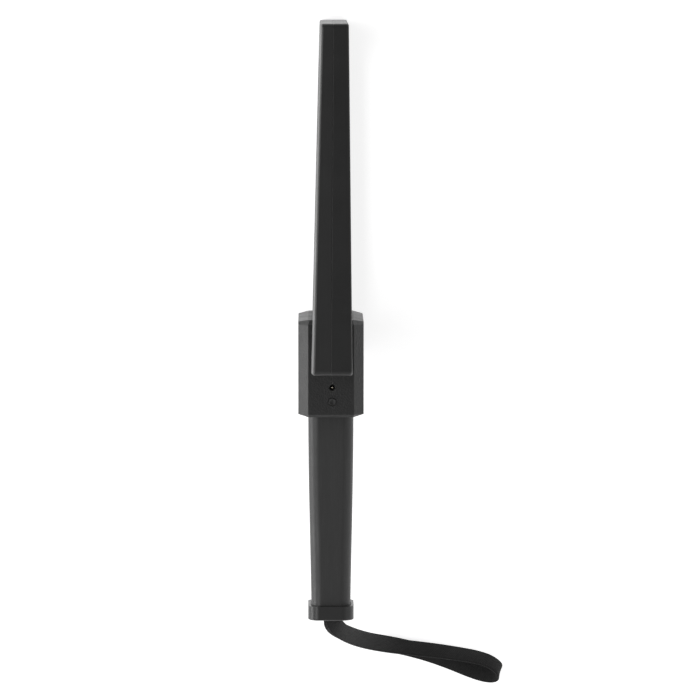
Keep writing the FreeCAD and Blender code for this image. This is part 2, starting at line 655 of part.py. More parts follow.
def socket_parts():
    """The power jack, its pin, the data socket, its rubber plug, and the board and connector behind them."""
    pin_base, pin_tip = SOCKET_TOP_Z - JACK_BORE_DEPTH, HOUSING_TOP_Z - JACK_PIN_SINK
    pin = rod(JACK_PIN_R, Vector(PARTING_X, JACK_Y, pin_base), Z_AXIS, pin_tip - pin_base)
    pin = pin.makeFillet(JACK_PIN_TIP_R, edges_where(pin, lambda p: p.z > pin_tip - 0.01))
    head_z = HOUSING_TOP_Z + PLUG_PROUD
    head = rod(PLUG_HEAD_R, Vector(PARTING_X, SOCKET_Y, head_z - PLUG_HEAD_THICK), Z_AXIS, PLUG_HEAD_THICK)
    head = head.makeFillet(PLUG_EDGE_R, edges_where(head, lambda p: p.z > head_z - 0.01))
    dish_r = PLUG_DISH_R**2 / (2 * PLUG_DISH) + PLUG_DISH / 2
    head = head.cut(Part.makeSphere(dish_r, Vector(PARTING_X, SOCKET_Y, head_z - PLUG_DISH + dish_r)))
    stem_z = head_z - PLUG_HEAD_THICK - PLUG_STEM_LENGTH
    stem = rod(PLUG_STEM_R, Vector(PARTING_X, SOCKET_Y, stem_z), Z_AXIS, PLUG_STEM_LENGTH)
    plug = fuse(head, stem)
    x = PARTING_X + JACK_BODY / 2
    io_board = box(x, x + BOARD_THICK, *IO_BOARD_Y, SOCKET_TOP_Z - JACK_DEPTH, SOCKET_TOP_Z - 0.2)
    low_z = SOCKET_TOP_Z - CONNECTOR_DROP
    connector = box(x + BOARD_THICK, MAIN_BOARD_X, *CONNECTOR_Y, low_z, low_z + CONNECTOR_HEIGHT)
    return {
        "dc_jack": socket_body(JACK_Y, JACK_BORE_R),
        "dc_jack_pin": pin,
        "data_socket": socket_body(SOCKET_Y, JACK_BORE_R),
        "data_port_plug": solid(plug),
        "io_board": io_board,
        "board_connector": connector,
    }


# ---------------------------------------------------------------- handle and batteries


def handle_section(y, width, depth, radius):
    """A rounded rectangle across the handle."""
    low_z, high_z = MID_Z - depth / 2, MID_Z + depth / 2
    return rounded(-width / 2, width / 2, low_z, high_z, radius, lambda x, z: Vector(x, y, z))


def handle_outer(grow):
    """The handle's outside as a solid, made larger by grow."""
    wires = []
    for y, width in HANDLE_STATIONS:
        wires.append(handle_section(y, width + 2 * grow, HANDLE_DEPTH + 2 * grow, HANDLE_CORNER_R + grow))
    return Part.makeLoft(wires, True, False)


def handle_tube():
    """The hollow handle, open at both ends, with the flange that the housing captures."""
    tube = handle_outer(0.0)
    inner = handle_outer(-HANDLE_WALL)
    flange_y = HOUSING_END_Y + HOUSING_WALL + HANDLE_FLANGE_LIFT
    width, depth = HANDLE_STATIONS[0][1] + 2 * HANDLE_FLANGE, HANDLE_DEPTH + 2 * HANDLE_FLANGE
    flange = Part.Face(handle_section(flange_y, width, depth, HANDLE_CORNER_R + HANDLE_FLANGE))
    tube = fuse(tube, flange.extrude(Y_AXIS * HANDLE_FLANGE_THICK))
    return solid(tube.cut(inner))


def battery_parts():
    """Four cells, the tray that holds them, and the tray's contacts."""
    cells = []
    for z in CELL_Z:
        for start in (CELLS_END_Y, CELLS_END_Y + CELL_LENGTH + CELL_GAP):
            can = rod(CELL_R, Vector(0, start, z), Y_AXIS, CELL_LENGTH - CELL_NUB)
            can = can.makeFillet(CELL_EDGE_R, can.Edges)
            nub = rod(CELL_NUB_R, Vector(0, start + CELL_LENGTH - CELL_NUB - 0.2, z), Y_AXIS, CELL_NUB + 0.2)
            cells.append(solid(fuse(can, nub)))
    x0, x1 = CELL_R + 0.1, CELL_R + 0.1 + TRAY_THICK
    low_z, high_z = MID_Z - TRAY_HALF_WIDTH, MID_Z + TRAY_HALF_WIDTH
    wall_y = CELLS_TOP_Y + CONTACT_THICK
    tray = box(x0, x1, CELLS_END_Y, wall_y + TRAY_THICK, low_z, high_z)
    end_wall = box(-TRAY_END_HALF, x1, wall_y, wall_y + TRAY_THICK, low_z, high_z)
    ridge_points = (
        Vector(x0, CELLS_END_Y, MID_Z - TRAY_RIDGE_HALF),
        Vector(x0, CELLS_END_Y, MID_Z + TRAY_RIDGE_HALF),
        Vector(x0 - TRAY_RIDGE, CELLS_END_Y, MID_Z),
    )
    tray = fuse(tray, end_wall, prism(ridge_points, Y_AXIS * (CELLS_TOP_Y - CELLS_END_Y)))
    contacts = []
    for z in CELL_Z:
        half = CONTACT_HALF
        contacts.append(box(-half, half, CELLS_TOP_Y, wall_y, z - half, z + half))
    return {
        "battery_cells": Part.makeCompound(cells),
        "battery_tray": solid(tray),
        "tray_contacts": Part.makeCompound(contacts),
    }


def spring(z, start, length):
    """A battery contact spring along Y."""
    pitch = length / SPRING_TURNS
    helix = Part.makeHelix(pitch, length, SPRING_R)
    profile = Part.Wire(Part.makeCircle(SPRING_WIRE_R, Vector(SPRING_R, 0, 0), Y_AXIS))
    coil = Part.Wire(helix).makePipeShell([profile], True, True)
    turn = FreeCAD.Rotation(Z_AXIS, Y_AXIS)
    coil.Placement = FreeCAD.Placement(Vector(0, start, z), turn)
    return coil


def cap_block(y, length, inset, radius):
    """A rounded block along the cap, its sides moved inwards from the spigot's by inset."""
    face = Part.Face(handle_section(y, SPIGOT_WIDTH - 2 * inset, SPIGOT_DEPTH - 2 * inset, radius))
    return face.extrude(Y_AXIS * length)


def end_cap(seal, pin):
    """The push-on cap: a shallow cup round the handle's end, and a spigot inside it."""
    outer = Part.Face(handle_section(END_Y, CAP_WIDTH, CAP_DEPTH, CAP_CORNER_R))
    cap = outer.extrude(Y_AXIS * (CAP_RIM_Y - END_Y))
    cap = cap.makeFillet(CAP_EDGE_R, edges_where(cap, lambda p: p.y < END_Y + 0.01))
    floor_y = END_Y + CAP_FLOOR
    cup_width, cup_depth = CAP_WIDTH - 2 * CAP_WALL, CAP_DEPTH - 2 * CAP_WALL
    cup = Part.Face(handle_section(floor_y, cup_width, cup_depth, CUP_CORNER_R))
    cap = cap.cut(cup.extrude(Y_AXIS * CAP_DEPTH))
    length = SPIGOT_TOP_Y - floor_y
    spigot = cap_block(floor_y, length, 0.0, SPIGOT_CORNER_R)
    spigot = spigot.cut(cap_block(floor_y, length, SPIGOT_WALL, SPIGOT_CORNER_R - SPIGOT_WALL))
    slot_x, slot_z = STRAP_SLOT[0] / 2, STRAP_SLOT[1] / 2
    slot = box(-slot_x, slot_x, END_Y - 1, floor_y + 1, MID_Z - slot_z, MID_Z + slot_z)
    return solid(cut(fuse(cap, spigot), seal, slot, pin))


def cap_parts():
    """The push-on end cap with its seal, battery contacts and strap pin."""
    seal = cap_block(SEAL_Y, SEAL_WIDTH, -SEAL_PROUD, SPIGOT_CORNER_R + SEAL_PROUD)
    seal = solid(seal.cut(cap_block(SEAL_Y, SEAL_WIDTH, SEAL_SEAT, SPIGOT_CORNER_R - SEAL_SEAT)))
    pin_half = SPIGOT_WIDTH / 2 - 0.3
    pin = rod(STRAP_PIN_R, Vector(-pin_half, STRAP_PIN_Y, MID_Z), X_AXIS, 2 * pin_half)
    start = SPIGOT_TOP_Y + CONTACT_PLATE_THICK
    run = CELLS_END_Y - start - 2 * SPRING_WIRE_R - SPRING_CLEARANCE
    springs = [spring(z, start + SPRING_WIRE_R, run) for z in CELL_Z]
    return {
        "end_cap": end_cap(seal, pin),
        "cap_seal": seal,
        "strap_pin": pin,
        "contact_plate": cap_block(SPIGOT_TOP_Y, CONTACT_PLATE_THICK, 0.0, SPIGOT_CORNER_R),
        "contact_springs": Part.makeCompound(springs),
    }


# ---------------------------------------------------------------- wrist strap


def strap_path():
    """Points along the strap's straight runs and tangent arcs, each with its direction and its tilt."""
    points = [Vector(*p[:3]) for p in STRAP_ROUTE]
    samples = [(points[0], (points[1] - points[0]).normalize(), STRAP_ROUTE[0][3], 0)]
    length = 0.0
    radii = []
    last = points[0]
    for number in range(1, len(points) - 1):
        before, here, after = points[number - 1], points[number], points[number + 1]
        into, out = here - before, after - here
        reach = 0.45 * min(into.Length, out.Length)
        into, out = into.normalize(), out.normalize()
        turn = into.getAngle(out)
        radius = reach / math.tan(turn / 2)
        radii.append(radius)
        start, end = here - into * reach, here + out * reach
        centre = here + (out - into).normalize() * (radius / math.cos(turn / 2))
        length += (start - last).Length + radius * turn
        last = end
        middle = centre + (here - centre).normalize() * radius
        along = (into + out).normalize()
        tilt = STRAP_ROUTE[number][3]
        for place, direction in ((start, into), (middle, along), (end, out)):
            samples.append((place, direction, tilt, number))
    length += (points[-1] - last).Length
    samples.append((points[-1], (points[-1] - points[-2]).normalize(), STRAP_ROUTE[-1][3], len(points) - 1))
    return samples, length, radii


def strap_width_direction(direction, tilt, number):
    """Across the webbing: level, square to the way it runs in plan, then tilted about the run."""
    if number in (STRAP_TURN - 1, STRAP_TURN):
        across = Vector(*STRAP_FOLD, 0).normalize()
    else:
        across = Z_AXIS.cross(Vector(direction.x, direction.y, 0)).normalize()
        if number > STRAP_TURN:
            across = -across
    angle = math.radians(tilt)
    across = across * math.cos(angle) - Z_AXIS * math.sin(angle)
    across = across - direction * across.dot(direction)
    return across.normalize()


def wrist_strap():
    """The woven loop as one flat closed band, and its length down the middle."""
    samples, length, radii = strap_path()
    wires = []
    for place, direction, tilt, number in samples:
        across = strap_width_direction(direction, tilt, number)
        side = across * (STRAP_WIDTH / 2)
        up = direction.cross(across).normalize() * (STRAP_THICK / 2)
        corners = [place + side + up, place - side + up, place - side - up, place + side - up]
        wires.append(Part.makePolygon([*corners, corners[0]]))
    band = Part.makeLoft(wires, True, True)
    expected = STRAP_WIDTH * STRAP_THICK * length
    print("strap length %.1f, volume %.0f against %.0f" % (length, band.Volume, expected))
    print("strap radii " + " ".join("%.0f" % r for r in radii))
    return band


# ---------------------------------------------------------------- the whole reader


def build():
    """Every piece of the reader by name."""
    parts = {}
    parts["loop_front_shell"], parts["loop_rear_shell"] = loop_shells()
    parts["coil_former"], parts["antenna_coil"] = coil_and_former()
    parts["front_cover"], parts["rear_cover"] = housing_covers()
    parts["housing_screws"] = housing_screws()
    parts.update(display_parts())
    parts.update(button_parts("scan", SCAN_BUTTON_Y, SCAN_BUTTON_R))
    parts.update(button_parts("menu", MENU_BUTTON_Y, MENU_BUTTON_R))
    parts.update(board_parts())
    parts.update(socket_parts())
    parts["handle_tube"] = handle_tube()
    parts.update(battery_parts())
    parts.update(cap_parts())
    parts["wrist_strap"] = wrist_strap()
    return parts


def main():
    os.makedirs("parts", exist_ok=True)
    for name, shape in build().items():
        solids = len(shape.Solids)
        print("%-20s solids %d volume %.0f valid %s" % (name, solids, shape.Volume, shape.isValid()))
        shape.exportStep(os.path.join("parts", name + ".step"))


main()
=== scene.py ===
"""The looks of a hand-held loop reader for animal microchips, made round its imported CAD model, in metres.

The reader stands on the long edge of its antenna loop and is seen from above, so its edge shows. +Z is up,
the loop's tip is at +Y, the display is on the -X face, and the wrist strap falls to the floor at +X.
"""

import math

import bmesh
import bpy
from mathutils import Matrix, Vector


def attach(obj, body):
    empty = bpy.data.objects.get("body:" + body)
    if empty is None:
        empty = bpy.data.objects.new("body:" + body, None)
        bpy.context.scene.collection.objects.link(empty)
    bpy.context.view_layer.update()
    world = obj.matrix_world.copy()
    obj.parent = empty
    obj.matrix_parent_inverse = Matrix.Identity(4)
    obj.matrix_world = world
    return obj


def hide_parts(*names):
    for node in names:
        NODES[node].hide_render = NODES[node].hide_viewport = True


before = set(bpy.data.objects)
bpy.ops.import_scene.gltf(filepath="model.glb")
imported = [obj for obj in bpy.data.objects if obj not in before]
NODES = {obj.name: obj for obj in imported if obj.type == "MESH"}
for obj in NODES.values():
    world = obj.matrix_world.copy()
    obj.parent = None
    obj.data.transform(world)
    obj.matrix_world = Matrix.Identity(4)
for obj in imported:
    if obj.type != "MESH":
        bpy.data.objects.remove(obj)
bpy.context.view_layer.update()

MM = 0.001
CELL_PITCH = 50.5 * MM

# Camera: where it looks, how far off it is, and its two tilts from straight down
AIM = Vector((0.0127, -0.0193, 0.083))
CAMERA_RISE = 3.0006
CAMERA_LEAN_X, CAMERA_LEAN_Y = 0.0079, 0.08796
CAMERA_LENS, CAMERA_SENSOR = 234.7, 36.0

# The surround's grey at the sine of each height above the floor: mid-grey walls, pale coving, dark ceiling
SURROUND = ((0.0, 0.32), (0.3, 0.62), (0.8, 0.66), (0.95, 0.2))
# How much of that light is left towards +Y, at the sine of the angle, past the tip of the loop
FAR_WALL = ((0.25, 1.0), (0.7, 0.4))

# Wrist strap
STRAP_WIDTH, STRAP_THICK = 11 * MM, 1.5 * MM
SELVEDGE = 0.9 * MM
YARN_PITCH, PICK_PITCH = 0.9 * MM, 1.3 * MM
# The strap's mesh attribute that holds each point's place across and along the webbing
WEAVE = "weave"
# The point at which the strap folds back, and the way its width lies there in plan
STRAP_TURN = 13
STRAP_FOLD = (0.3, 0.95, 0.0)
# x, y, z of each point in metres, then the tilt of the webbing's width from the horizontal in degrees
STRAP_ROUTE = (
    (0.0012, -0.189, 0.08505, 0),
    (0.0014, -0.1998, 0.085, 0),
    (0.0058, -0.2064, 0.079, 30),
    (0.0118, -0.212, 0.065, 46),
    (0.0196, -0.2174, 0.0485, 46),
    (0.0298, -0.2222, 0.0325, 42),
    (0.0425, -0.2264, 0.019, 38),
    (0.0575, -0.229, 0.0124, 35),
    (0.0725, -0.231, 0.0108, 36),
    (0.0865, -0.233, 0.0112, 40),
    (0.099, -0.235, 0.0118, 43),
    (0.109, -0.2382, 0.012, 45),
    (0.1158, -0.244, 0.0104, 34),
    (0.1134, -0.2486, 0.0072, 27),
    (0.106, -0.2484, 0.0056, 24),
    (0.0955, -0.245, 0.0047, 18),
    (0.083, -0.2398, 0.0036, 13),
    (0.0685, -0.2346, 0.0028, 9),
    (0.054, -0.2306, 0.0022, 5),
    (0.041, -0.2274, 0.0046, 10),
    (0.0292, -0.2239, 0.015, 34),
    (0.019, -0.2191, 0.0305, 42),
    (0.0108, -0.2136, 0.0475, 42),
    (0.0042, -0.208, 0.0645, 28),
    (0.0008, -0.2033, 0.0768, 0),
    (0.0007, -0.1988, 0.0808, 0),
    (0.0007, -0.189, 0.08095, 0),
)


# ---------------------------------------------------------------- camera and light


def look_at(thing, target):
    """Turns a camera or a lamp to face the target, with its top towards +Y."""
    forward = (target - thing.location).normalized()
    right = forward.cross(Vector((0, 1, 0))).normalized()
    top = right.cross(forward)
    thing.rotation_euler = Matrix((right, top, -forward)).transposed().to_euler()


def make_camera():
    data = bpy.data.cameras.new("camera")
    data.lens, data.sensor_width = CAMERA_LENS, CAMERA_SENSOR
    data.clip_end = 20.0
    camera = bpy.data.objects.new("camera", data)
    bpy.context.scene.collection.objects.link(camera)
    back = Vector((-CAMERA_LEAN_X, CAMERA_LEAN_Y, 1.0))
    camera.location = AIM + back * CAMERA_RISE
    look_at(camera, AIM)
    bpy.context.scene.camera = camera
    return camera


def softbox(name, place, target, size, power):
    """A square area light."""
    data = bpy.data.lights.new(name, "AREA")
    data.shape = "RECTANGLE"
    data.size, data.size_y = size
    data.energy = power
    lamp = bpy.data.objects.new(name, data)
    bpy.context.scene.collection.objects.link(lamp)
    lamp.location = Vector(place)
    look_at(lamp, Vector(target))
    return lamp


def set_stops(ramp, stops):
    """Gives a colour ramp its (position, grey or colour) stops."""
    elements = ramp.color_ramp.elements
    while len(elements) < len(stops):
        elements.new(0.5)
    for element, (position, value) in zip(elements, stops):
        element.position = position
        colour = value if isinstance(value, tuple) else (value, value, value)
        element.color = (*colour, 1.0)


def make_light():
    """Soft studio light, strongest and lowest from -X, in a pale surround."""
    world = bpy.data.worlds.new("studio")
    bpy.context.scene.world = world
    world.use_nodes = True
    tree = world.node_tree
    direction = tree.nodes.new("ShaderNodeTexCoord")
    parts = tree.nodes.new("ShaderNodeSeparateXYZ")
    tree.links.new(direction.outputs["Generated"], parts.inputs[0])
    both = tree.nodes.new("ShaderNodeMixRGB")
    both.blend_type = "MULTIPLY"
    both.inputs[0].default_value = 1.0
    for axis, stops, socket in (("Z", SURROUND, both.inputs[1]), ("Y", FAR_WALL, both.inputs[2])):
        ramp = tree.nodes.new("ShaderNodeValToRGB")
        set_stops(ramp, stops)
        tree.links.new(parts.outputs[axis], ramp.inputs["Fac"])
        tree.links.new(ramp.outputs["Color"], socket)
    tree.links.new(both.outputs[0], tree.nodes["Background"].inputs["Color"])
    centre = (0.0, -0.03, 0.08)
    softbox("low left softbox", (-1.5, 0.0, 0.32), centre, (0.6, 2.6), 19)
    softbox("high left softbox", (-1.1, -0.2, 1.9), centre, (0.7, 1.6), 9)
    softbox("low right softbox", (1.3, -1.3, 0.4), centre, (0.6, 1.2), 7)


def make_floor():
    """A plain pale floor that gives light of its own, like a light table, so that it stays near white."""
    size = 8.0
    mesh = bpy.data.meshes.new("floor")
    corners = [(-size, -size, 0), (size, -size, 0), (size, size, 0), (-size, size, 0)]
    mesh.from_pydata(corners, [], [(0, 1, 2, 3)])
    floor = bpy.data.objects.new("floor", mesh)
    bpy.context.scene.collection.objects.link(floor)
    g = Graph("floor")
    g.link(g.ramp(g.noise(3.0, 4.0), (0.3, 0.79), (0.7, 0.81)), g.shader.inputs["Base Color"])
    g.fix(Roughness=0.9, Specular_IOR_Level=0.1, Emission_Color=(1.0, 1.0, 1.0, 1.0), Emission_Strength=0.66)
    mesh.materials.append(g.material)
    return floor


# ---------------------------------------------------------------- materials


class Graph:
    """A material's node tree, with short ways to add nodes. Lengths are in metres."""

    def __init__(self, name):
        self.material = bpy.data.materials.new(name)
        self.material.use_nodes = True
        self.tree = self.material.node_tree
        self.shader = self.tree.nodes["Principled BSDF"]
        self.place = self.add("ShaderNodeTexCoord").outputs["Object"]

    def add(self, kind, **values):
        node = self.tree.nodes.new(kind)
        for name, value in values.items():
            setattr(node, name, value)
        return node

    def link(self, out, into):
        self.tree.links.new(out, into)

    def fix(self, **values):
        """Sets the shader's own sockets, by names with underscores for spaces."""
        for name, value in values.items():
            self.shader.inputs[name.replace("_", " ")].default_value = value

    def feed(self, **sources):
        """Links nodes' outputs into the shader's sockets, by names with underscores for spaces."""
        for name, source in sources.items():
            self.link(source, self.shader.inputs[name.replace("_", " ")])

    def stretched(self, stretch):
        """The object's own coordinates, scaled along each axis."""
        mapping = self.add("ShaderNodeMapping")
        mapping.inputs["Scale"].default_value = stretch
        self.link(self.place, mapping.inputs["Vector"])
        return mapping.outputs["Vector"]

    def noise(self, scale, detail=2.0, roughness=0.5, stretch=None):
        node = self.add("ShaderNodeTexNoise")
        node.inputs["Scale"].default_value = scale
        node.inputs["Detail"].default_value = detail
        node.inputs["Roughness"].default_value = roughness
        self.link(self.stretched(stretch) if stretch else self.place, node.inputs["Vector"])
        return node.outputs["Fac"]

    def pits(self, scale):
        """Rounded pits packed side by side, as a spark-eroded mould leaves."""
        node = self.add("ShaderNodeTexVoronoi", feature="SMOOTH_F1")
        node.inputs["Scale"].default_value = scale
        self.link(self.place, node.inputs["Vector"])
        return node.outputs["Distance"]

    def bands(self, direction, pitch, distortion=0.0):
        """Even ridges across one axis."""
        node = self.add("ShaderNodeTexWave", bands_direction=direction)
        node.inputs["Scale"].default_value = 0.314 / pitch
        node.inputs["Distortion"].default_value = distortion
        self.link(self.place, node.inputs["Vector"])
        return node.outputs["Fac"]

    def maths(self, operation, first, second=None):
        node = self.add("ShaderNodeMath", operation=operation)
        for value, socket in zip((first, second), node.inputs):
            if isinstance(value, (int, float)):
                socket.default_value = value
            elif value is not None:
                self.link(value, socket)
        return node.outputs[0]

    def axes(self, source):
        """A vector's three parts."""
        node = self.add("ShaderNodeSeparateXYZ")
        self.link(source, node.inputs[0])
        return node.outputs

    def ramp(self, factor, *stops):
        """A colour ramp with (position, grey or colour) stops."""
        node = self.add("ShaderNodeValToRGB")
        set_stops(node, stops)
        self.link(factor, node.inputs["Fac"])
        return node.outputs["Color"]

    def mix(self, factor, first, second, how="MIX"):
        """Two colours mixed by a factor."""
        node = self.add("ShaderNodeMixRGB", blend_type=how)
        for value, socket in zip((factor, first, second), node.inputs):
            if isinstance(value, (int, float)):
                socket.default_value = value if socket.type == "VALUE" else (value, value, value, 1.0)
            elif isinstance(value, tuple):
                socket.default_value = (*value, 1.0)
            else:
                self.link(value, socket)
        return node.outputs[0]

    def soft_edges(self, radius):
        """A normal that rounds the piece's sharp edges, and a mask that is white along them."""
        bevel = self.add("ShaderNodeBevel", samples=4)
        bevel.inputs["Radius"].default_value = radius
        facing = self.add("ShaderNodeVectorMath", operation="DOT_PRODUCT")
        self.link(bevel.outputs["Normal"], facing.inputs[0])
        self.link(self.add("ShaderNodeNewGeometry").outputs["Normal"], facing.inputs[1])
        return bevel.outputs["Normal"], self.ramp(facing.outputs["Value"], (0.8, 1.0), (0.99, 0.0))

    def bump(self, *layers, base=None):
        """Bumps of (height, strength, distance in metres), one on the other, into the shader."""
        normal = base
        for height, strength, distance in layers:
            node = self.add("ShaderNodeBump")
            node.inputs["Strength"].default_value = strength
            node.inputs["Distance"].default_value = distance
            self.link(height, node.inputs["Height"])
            if normal:
                self.link(normal, node.inputs["Normal"])
            normal = node.outputs["Normal"]
        self.feed(Normal=normal)


def moulded_plastic(name, grey, roughness, grain, depth, streaks=0.1, edge_wear_and_highlight=1.7, edge=0.35 * MM):
    """Black moulded plastic: pitted grain, faint streaks from handling, and edges painted lighter, partly
    rubbed wear and partly a painted edge highlight.
    """
    g = Graph(name)
    normal, edges = g.soft_edges(edge)
    patches = g.noise(45.0, 4.0, 0.55)
    pits = g.pits(grain)
    fine = g.noise(grain * 2.2, 3.0, 0.6)
    rubbed = g.noise(900.0, 4.0, 0.7, stretch=(1.0, 0.04, 1.0))
    tone = g.ramp(patches, (0.3, grey * 0.9), (0.7, grey * 1.1))
    tone = g.mix(g.ramp(rubbed, (0.45, 0.0), (0.8, streaks)), tone, grey * 2.2)
    # Pit centres painted darker: painted shade in the grain's pits.
    tone = g.mix(g.ramp(pits, (0.0, 0.35), (0.5, 0.0)), tone, grey * 0.5)
    # Edges painted lighter in patches: partly rubbed wear, partly a painted highlight along the edges.
    worn_and_lit_edges = g.maths("MULTIPLY", edges, g.ramp(g.noise(260.0, 3.0), (0.3, 0.35), (0.7, 1.0)))
    tone = g.mix(worn_and_lit_edges, tone, grey * edge_wear_and_highlight)
    shine = g.ramp(patches, (0.3, roughness + 0.05), (0.7, roughness - 0.05))
    shine = g.mix(worn_and_lit_edges, shine, roughness - 0.1)
    g.feed(Base_Color=tone, Roughness=shine)
    g.bump((pits, 0.35, depth), (fine, 0.25, depth * 0.6), (rubbed, 0.1, depth * 0.3), base=normal)
    return g.material


def moulded_rubber(name, grey, roughness):
    """Matt rubber with a dusty bloom and a few specks."""
    g = Graph(name)
    normal, edges = g.soft_edges(0.2 * MM)
    bloom = g.noise(220.0, 4.0, 0.6)
    specks = g.pits(2600.0)
    tone = g.ramp(bloom, (0.35, grey * 0.85), (0.7, grey * 1.3))
    tone = g.mix(g.ramp(specks, (0.08, 0.5), (0.16, 0.0)), tone, grey * 3.0)
    gloss = g.ramp(bloom, (0.3, roughness), (0.7, roughness + 0.1))
    # Edges painted lighter: a painted highlight along every edge.
    g.feed(Base_Color=g.mix(edges, tone, grey * 1.5), Roughness=gloss)
    g.fix(Specular_IOR_Level=0.35, Sheen_Weight=0.12, Sheen_Roughness=0.5)
    g.bump((g.noise(3200.0, 3.0), 0.3, 0.04 * MM), base=normal)
    return g.material


def metal(name, colour, roughness, stretch=(1.0, 1.0, 1.0)):
    """Machined or drawn metal with fine tool lines and a few dull spots."""
    g = Graph(name)
    normal, edges = g.soft_edges(0.12 * MM)
    lines = g.noise(5200.0, 3.0, 0.6, stretch=stretch)
    spots = g.noise(520.0, 3.0, 0.6)
    dark = tuple(0.72 * part for part in colour)
    tone = g.mix(g.ramp(spots, (0.4, 0.0), (0.72, 1.0)), colour, dark)
    g.feed(Base_Color=tone, Roughness=g.ramp(lines, (0.3, roughness - 0.06), (0.7, roughness + 0.08)))
    g.fix(Metallic=1.0)
    g.bump((lines, 0.25, 0.015 * MM), base=normal)
    return g.material


def circuit_board():
    """Green solder mask over tracks and pads."""
    g = Graph("circuit board")
    tracks = g.add("ShaderNodeTexBrick", offset=0.5, squash=0.6, squash_frequency=3)
    tracks.inputs["Scale"].default_value = 160.0
    tracks.inputs["Mortar Size"].default_value = 0.06
    turned = g.add("ShaderNodeMapping")
    turned.inputs["Rotation"].default_value = (0.0, math.pi / 2, 0.0)
    g.link(g.place, turned.inputs["Vector"])
    g.link(turned.outputs["Vector"], tracks.inputs["Vector"])
    copper = tracks.outputs["Fac"]
    mask = g.ramp(g.noise(90.0, 3.0), (0.3, (0.012, 0.07, 0.03)), (0.7, (0.016, 0.09, 0.038)))
    tone = g.mix(copper, mask, (0.03, 0.17, 0.07))
    holes = g.ramp(g.pits(420.0), (0.1, 1.0), (0.16, 0.0))
    g.feed(Base_Color=g.mix(holes, tone, (0.62, 0.5, 0.26)), Roughness=g.ramp(holes, (0.0, 0.32), (1.0, 0.24)))
    g.bump((copper, 0.4, 0.04 * MM))
    return g.material


def winding():
    """Enamelled copper turns side by side."""
    g = Graph("copper winding")
    turns = g.bands("X", 0.42 * MM, 0.4)
    # Turns painted dark in the grooves between them and lighter on their crowns: painted shade and painted
    # highlight.
    tone = g.ramp(turns, (0.0, (0.12, 0.035, 0.012)), (0.6, (0.55, 0.2, 0.07)), (1.0, (0.72, 0.3, 0.12)))
    g.feed(Base_Color=tone, Roughness=g.ramp(g.noise(300.0), (0.3, 0.22), (0.7, 0.36)))
    g.fix(Metallic=0.85, Coat_Weight=0.4, Coat_Roughness=0.15)
    g.bump((turns, 0.8, 0.15 * MM))
    return g.material


def natural_nylon():
    """Off-white moulded nylon with cloudy patches."""
    g = Graph("natural nylon")
    clouds = g.noise(120.0, 4.0)
    g.feed(
        Base_Color=g.ramp(clouds, (0.3, (0.58, 0.56, 0.48)), (0.7, (0.72, 0.7, 0.62))),
        Roughness=g.ramp(clouds, (0.3, 0.38), (0.7, 0.5)),
    )
    g.fix(Subsurface_Weight=0.1, Subsurface_Scale=0.5 * MM)
    g.bump((g.noise(2400.0, 3.0), 0.3, 0.03 * MM))
    return g.material


def display_window():
    """Smoked clear plastic with faint wiping marks."""
    g = Graph("display window")
    wiped = g.noise(240.0, 4.0, 0.7, stretch=(1.0, 0.15, 1.0))
    g.feed(
        Base_Color=g.ramp(wiped, (0.3, 0.52), (0.7, 0.6)),
        Roughness=g.ramp(wiped, (0.4, 0.03), (0.8, 0.1)),
    )
    g.fix(Transmission_Weight=0.92, IOR=1.49)
    g.bump((g.noise(60.0, 2.0), 0.05, 0.05 * MM))
    return g.material


def liquid_crystal():
    """A blank grey-green display: fine cells inside a darker border."""
    g = Graph("liquid crystal")
    x, y, z = g.axes(g.place)
    low = NODES["lcd_module"].bound_box[0]
    high = NODES["lcd_module"].bound_box[6]
    inside = None
    for part, start, end in ((y, low[1], high[1]), (z, low[2], high[2])):
        middle, half = (start + end) / 2, (end - start) / 2 - 1.6 * MM
        away = g.maths("ABSOLUTE", g.maths("SUBTRACT", part, middle))
        within = g.maths("LESS_THAN", away, half)
        inside = within if inside is None else g.maths("MULTIPLY", inside, within)
    rows, columns = g.bands("Y", 0.55 * MM), g.bands("Z", 0.55 * MM)
    cells = g.ramp(g.maths("MULTIPLY", rows, columns), (0.05, (0.17, 0.19, 0.16)), (0.3, (0.25, 0.28, 0.23)))
    cells = g.mix(g.ramp(g.noise(40.0), (0.3, 0.0), (0.7, 0.25)), cells, (0.2, 0.23, 0.2))
    gloss = g.ramp(rows, (0.0, 0.3), (1.0, 0.22))
    g.feed(Base_Color=g.mix(inside, (0.05, 0.055, 0.05), cells), Roughness=gloss)
    g.fix(Coat_Weight=0.3)
    return g.material


def frosted_pipe():
    """Frosted clear plastic that carries a lamp's light."""
    g = Graph("frosted pipe")
    frost = g.noise(1600.0, 3.0)
    g.feed(Base_Color=g.ramp(frost, (0.3, 0.5), (0.7, 0.66)), Roughness=g.ramp(frost, (0.3, 0.25), (0.7, 0.4)))
    g.fix(Transmission_Weight=0.5, Subsurface_Weight=0.2, Subsurface_Scale=1.0 * MM)
    g.bump((frost, 0.2, 0.02 * MM))
    return g.material


def dipped_film():
    """Glossy amber resin, a little uneven where it ran."""
    g = Graph("dipped film")
    runs = g.noise(160.0, 3.0, 0.6, stretch=(1.0, 0.4, 1.0))
    g.feed(
        Base_Color=g.ramp(runs, (0.3, (0.34, 0.16, 0.02)), (0.7, (0.5, 0.28, 0.05))),
        Roughness=g.ramp(runs, (0.3, 0.12), (0.7, 0.24)),
    )
    g.fix(Coat_Weight=0.5)
    g.bump((runs, 0.4, 0.3 * MM))
    return g.material


